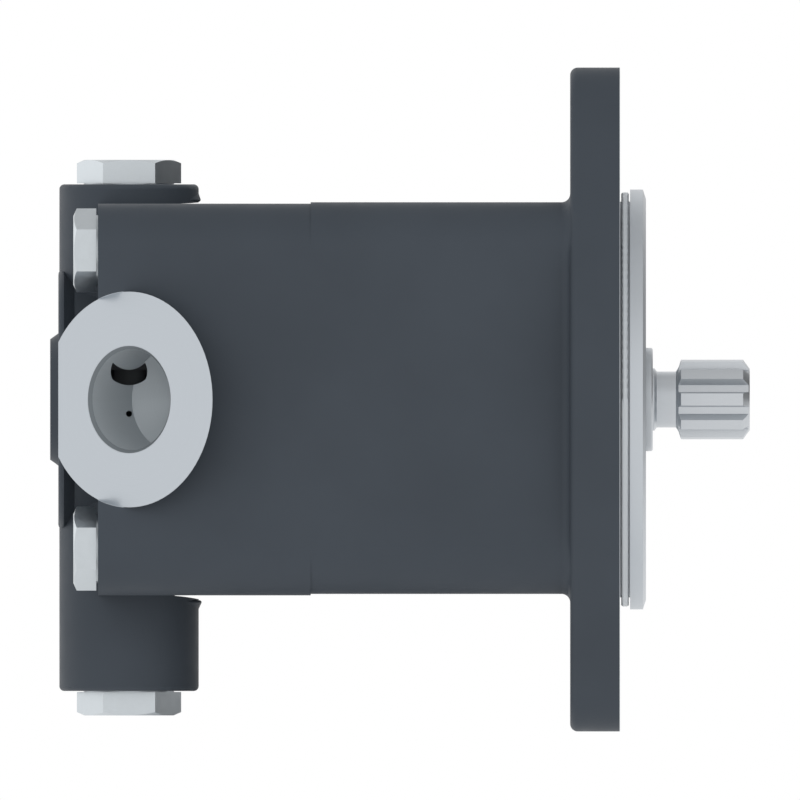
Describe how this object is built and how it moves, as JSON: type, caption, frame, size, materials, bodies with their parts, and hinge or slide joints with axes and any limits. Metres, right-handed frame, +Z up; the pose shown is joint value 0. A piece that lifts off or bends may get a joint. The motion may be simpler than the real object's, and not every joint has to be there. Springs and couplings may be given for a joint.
{
  "type": "hydraulic vane pump",
  "caption": "Flange-mounted hydraulic vane pump with a splined drive shaft, an upright valve tower closed by hexagon plugs, and round threaded ports.",
  "frame": {"origin": "centre of the mounting face, on the shaft's axis", "axes": "+X along the shaft, out of its splined end; +Z up, along the valve tower; the inlet port looks towards -Y"},
  "size_m": [0.1375, 0.0989, 0.1306],
  "materials": {
    "casting": "dark grey satin coat over a fine casting skin, faces machined bare",
    "zinc_steel": "zinc plated, pale and even",
    "ground_steel": "ground and polished",
    "bearing_steel": "polished bearing steel",
    "cage_steel": "pressed sheet steel",
    "bronze": "turned bronze",
    "seal_rubber": "matte black nitrile rubber",
    "pilot_ring": "smooth pale grey seal material",
    "spring_steel": "oiled spring steel"
  },
  "bodies": {
    "housing": {"bearing_clip": "spring_steel", "bearing_outer_race": "bearing_steel", "bottom_plug": "zinc_steel", "cam_ring": "ground_steel", "dowel_pins": "zinc_steel", "front_housing": "casting", "front_side_plate": "bronze", "garter_spring": "spring_steel", "housing_screws": "zinc_steel", "joint_ring": "seal_rubber", "pilot_ring": "pilot_ring", "plug_rings": "seal_rubber", "pressure_plate": "bronze", "pressure_plate_ring": "seal_rubber", "pressure_plate_spring": "spring_steel", "rear_bush": "bronze", "rear_housing": "casting", "seal_case": "zinc_steel", "seal_lip": "seal_rubber", "spool_spring": "spring_steel", "top_plug": "zinc_steel"},
    "shaft": {"drive_shaft": "ground_steel", "rotor": "ground_steel", "bearing_inner_race": "bearing_steel", "shaft_clip": "spring_steel"},
    "cage": {"bearing_balls": "bearing_steel", "bearing_cage": "cage_steel"},
    "spool": {"flow_spool": "ground_steel", "relief_plug": "zinc_steel", "relief_spring": "spring_steel"},
    "relief_ball": {"relief_ball": "ground_steel"},
    "vane_01": {"vane_01": "ground_steel"},
    "vane_02": {"vane_02": "ground_steel"},
    "vane_03": {"vane_03": "ground_steel"},
    "vane_04": {"vane_04": "ground_steel"},
    "vane_05": {"vane_05": "ground_steel"},
    "vane_06": {"vane_06": "ground_steel"},
    "vane_07": {"vane_07": "ground_steel"},
    "vane_08": {"vane_08": "ground_steel"},
    "vane_09": {"vane_09": "ground_steel"},
    "vane_10": {"vane_10": "ground_steel"}
  },
  "joints": [
    {"name": "shaft_spin", "type": "hinge", "parent": "housing", "child": "shaft", "pos_m": [0, 0, 0], "axis": [1, 0, 0], "continuous": true},
    {"name": "cage_spin", "type": "hinge", "parent": "housing", "child": "cage", "pos_m": [0, 0, 0], "axis": [1, 0, 0], "continuous": true},
    {"name": "vane_01_slide", "type": "slide", "parent": "shaft", "child": "vane_01", "axis": [0, 0, 1], "range_m": [0, 0.00026]},
    {"name": "vane_02_slide", "type": "slide", "parent": "shaft", "child": "vane_02", "axis": [0, -0.5878, 0.809], "range_m": [0, 0.00026]},
    {"name": "vane_03_slide", "type": "slide", "parent": "shaft", "child": "vane_03", "axis": [0, -0.9511, 0.309], "range_m": [0, 0.00149]},
    {"name": "vane_04_slide", "type": "slide", "parent": "shaft", "child": "vane_04", "axis": [0, -0.9511, -0.309], "range_m": [0, 0.00225]},
    {"name": "vane_05_slide", "type": "slide", "parent": "shaft", "child": "vane_05", "axis": [0, -0.5878, -0.809], "range_m": [0, 0.00149]},
    {"name": "vane_06_slide", "type": "slide", "parent": "shaft", "child": "vane_06", "axis": [0, 0, -1], "range_m": [0, 0.00026]},
    {"name": "vane_07_slide", "type": "slide", "parent": "shaft", "child": "vane_07", "axis": [0, 0.5878, -0.809], "range_m": [0, 0.00026]},
    {"name": "vane_08_slide", "type": "slide", "parent": "shaft", "child": "vane_08", "axis": [0, 0.9511, -0.309], "range_m": [0, 0.00149]},
    {"name": "vane_09_slide", "type": "slide", "parent": "shaft", "child": "vane_09", "axis": [0, 0.9511, 0.309], "range_m": [0, 0.00225]},
    {"name": "vane_10_slide", "type": "slide", "parent": "shaft", "child": "vane_10", "axis": [0, 0.5878, 0.809], "range_m": [0, 0.00149]},
    {"name": "spool_slide", "type": "slide", "parent": "housing", "child": "spool", "axis": [0, 0, -1], "range_m": [0, 0.006], "stiffness_N_per_m": 2500, "springref_m": -0.006, "deforming": ["spool_spring"]},
    {"name": "relief_slide", "type": "slide", "parent": "spool", "child": "relief_ball", "axis": [0, 0, 1], "range_m": [0, 0.001], "stiffness_N_per_m": 6000, "springref_m": -0.002, "deforming": ["relief_spring"]}
  ],
  "couplings": [
    {"joint": "cage_spin", "follows": "shaft_spin", "ratio": 0.39758}
  ]
}
